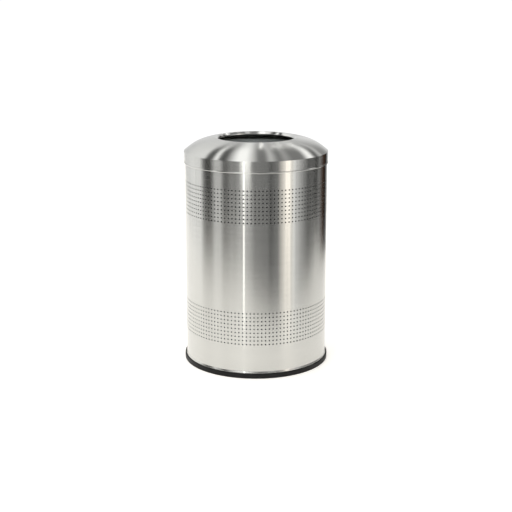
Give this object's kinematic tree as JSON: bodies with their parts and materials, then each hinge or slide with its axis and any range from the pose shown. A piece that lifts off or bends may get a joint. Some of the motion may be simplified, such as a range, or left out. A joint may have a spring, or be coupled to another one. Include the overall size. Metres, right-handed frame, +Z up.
{
  "type": "open-top waste bin",
  "caption": "Round stainless steel waste bin with perforated bands, a lift-off dome lid with a round open mouth and a lift-out metal liner.",
  "frame": {"origin": "centre of the drum on the floor, at the underside of the base trim", "axes": "+Z up along the drum's axis, front towards -Y; the body is round, and the liner's two handles lie towards +X and -X"},
  "size_m": [0.4691, 0.4692, 0.731],
  "materials": {
    "brushed_drum": "stainless sheet with a fine horizontal brushed grain",
    "brushed_lid": "spun stainless with a circular brushed grain",
    "polished_collar": "polished stainless",
    "black_vinyl": "soft black vinyl edging, satin",
    "galvanised_liner": "galvanised sheet with a faint zinc spangle",
    "galvanised_pan": "galvanised pressed sheet",
    "bright_wire": "bright zinc-plated wire and rivets"
  },
  "bodies": {
    "drum": {"base_trim": "black_vinyl", "base_pan": "galvanised_pan", "body_shell": "brushed_drum"},
    "lid": {"lid_dome": "brushed_lid", "mouth_collar": "polished_collar"},
    "liner": {"liner_wall": "galvanised_liner", "liner_base": "galvanised_liner", "liner_rim_wire": "bright_wire", "right_handle_plate": "galvanised_liner", "left_handle_plate": "galvanised_liner", "handle_rivets": "bright_wire"},
    "right_handle": {"right_handle": "bright_wire"},
    "left_handle": {"left_handle": "bright_wire"}
  },
  "joints": [
    {"name": "lid_lift", "type": "slide", "parent": "drum", "child": "lid", "axis": [0, 0, 1], "range_m": [0, 0.82]},
    {"name": "liner_lift", "type": "slide", "parent": "drum", "child": "liner", "axis": [0, 0, 1], "range_m": [0, 0.6765]},
    {"name": "right_handle_swing", "type": "hinge", "parent": "liner", "child": "right_handle", "pos_m": [0.1907, 0, 0.65], "axis": [0, 1, 0], "range_deg": [0, 110]},
    {"name": "left_handle_swing", "type": "hinge", "parent": "liner", "child": "left_handle", "pos_m": [-0.1907, 0, 0.65], "axis": [0, -1, 0], "range_deg": [0, 110]}
  ],
  "couplings": [
    {"joint": "liner_lift", "follows": "lid_lift", "ratio": 0.825}
  ]
}
